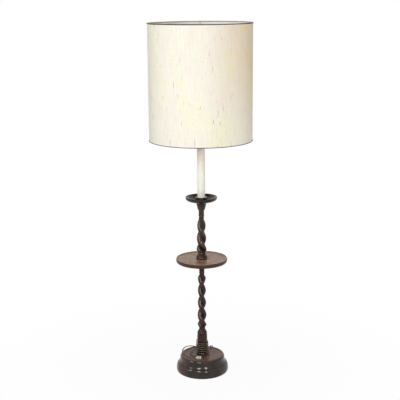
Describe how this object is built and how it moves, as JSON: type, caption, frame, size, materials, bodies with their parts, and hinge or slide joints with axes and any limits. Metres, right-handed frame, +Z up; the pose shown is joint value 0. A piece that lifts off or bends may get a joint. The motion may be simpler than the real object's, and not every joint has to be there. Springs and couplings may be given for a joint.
{
  "type": "candlestick floor lamp",
  "caption": "Turned wooden floor lamp with barley-twist columns, a round tray, a drip pan, a candle sleeve and a tall fabric drum shade",
  "frame": {"origin": "centre of the base's underside, on the floor", "axes": "+Z up along the stand, -Y towards the viewer of the picture, +X to that viewer's right"},
  "size_m": [0.4569, 0.457, 1.587],
  "materials": {
    "felt": "wool felt",
    "iron": "as cast",
    "dark_wood": "turned hardwood, dark stain, gloss varnish worn on the high places",
    "tray_wood": "turned hardwood board, dark stain, satin varnish",
    "zinc_steel": "zinc plated",
    "candle_cream": "cream candle sleeve, satin",
    "brass": "lacquered, a little dulled",
    "black_resin": "moulded black resin",
    "bulb_metal": "threaded cap",
    "bulb_glass": "frosted white",
    "shade_cloth": "slub raw-silk weave on a stiff backing",
    "trim_cloth": "woven tape, near black",
    "frame_wire": "brassed wire",
    "black_rubber": "moulded bushing",
    "brown_flex": "brown twin flex",
    "ivory_plastic": "moulded plug"
  },
  "bodies": {
    "stand": {"felt_pad": "felt", "ballast_disc": "iron", "base_foot": "dark_wood", "base_cap": "dark_wood", "base_screws": "zinc_steel", "pipe_washer": "zinc_steel", "lock_nut": "zinc_steel", "lamp_pipe": "zinc_steel", "lower_column": "dark_wood", "tray": "tray_wood", "tray_collar": "dark_wood", "upper_column": "dark_wood", "drip_pan": "dark_wood", "candle_cup": "dark_wood", "candle_sleeve": "candle_cream", "candle_cap": "brass", "harp_saddle": "brass", "harp": "brass", "socket_cap": "brass", "socket_shell": "brass", "socket_core": "black_resin", "screw_shell": "brass", "bulb_base": "bulb_metal", "bulb_glass": "bulb_glass", "cord_bushing": "black_rubber", "inner_flex": "brown_flex", "cord_lead": "brown_flex", "cord_winding": "brown_flex", "cord_tail": "brown_flex", "plug_body": "ivory_plastic", "plug_blades": "brass"},
    "knob": {"switch_knob": "black_resin"},
    "ferrule_l": {"ferrule_left": "brass"},
    "ferrule_r": {"ferrule_right": "brass"},
    "shade": {"shade_drum": "shade_cloth", "shade_spider": "frame_wire", "shade_lower_ring": "frame_wire", "top_trim": "trim_cloth", "bottom_trim": "trim_cloth"},
    "finial": {"finial": "brass"}
  },
  "joints": [
    {"name": "switch_turn", "type": "hinge", "parent": "stand", "child": "knob", "pos_m": [0, -0.025, 1.331], "axis": [0, -1, 0], "continuous": true},
    {"name": "ferrule_left_slide", "type": "slide", "parent": "stand", "child": "ferrule_l", "axis": [0, 0, 1], "range_m": [0, 0.012]},
    {"name": "ferrule_right_slide", "type": "slide", "parent": "stand", "child": "ferrule_r", "axis": [0, 0, 1], "range_m": [0, 0.012]},
    {"name": "shade_swivel", "type": "hinge", "parent": "stand", "child": "shade", "pos_m": [0, 0, 1.556], "axis": [0, 0, 1], "continuous": true},
    {"name": "finial_turn", "type": "hinge", "parent": "stand", "child": "finial", "pos_m": [0, 0, 1.558], "axis": [0, 0, 1], "continuous": true}
  ]
}
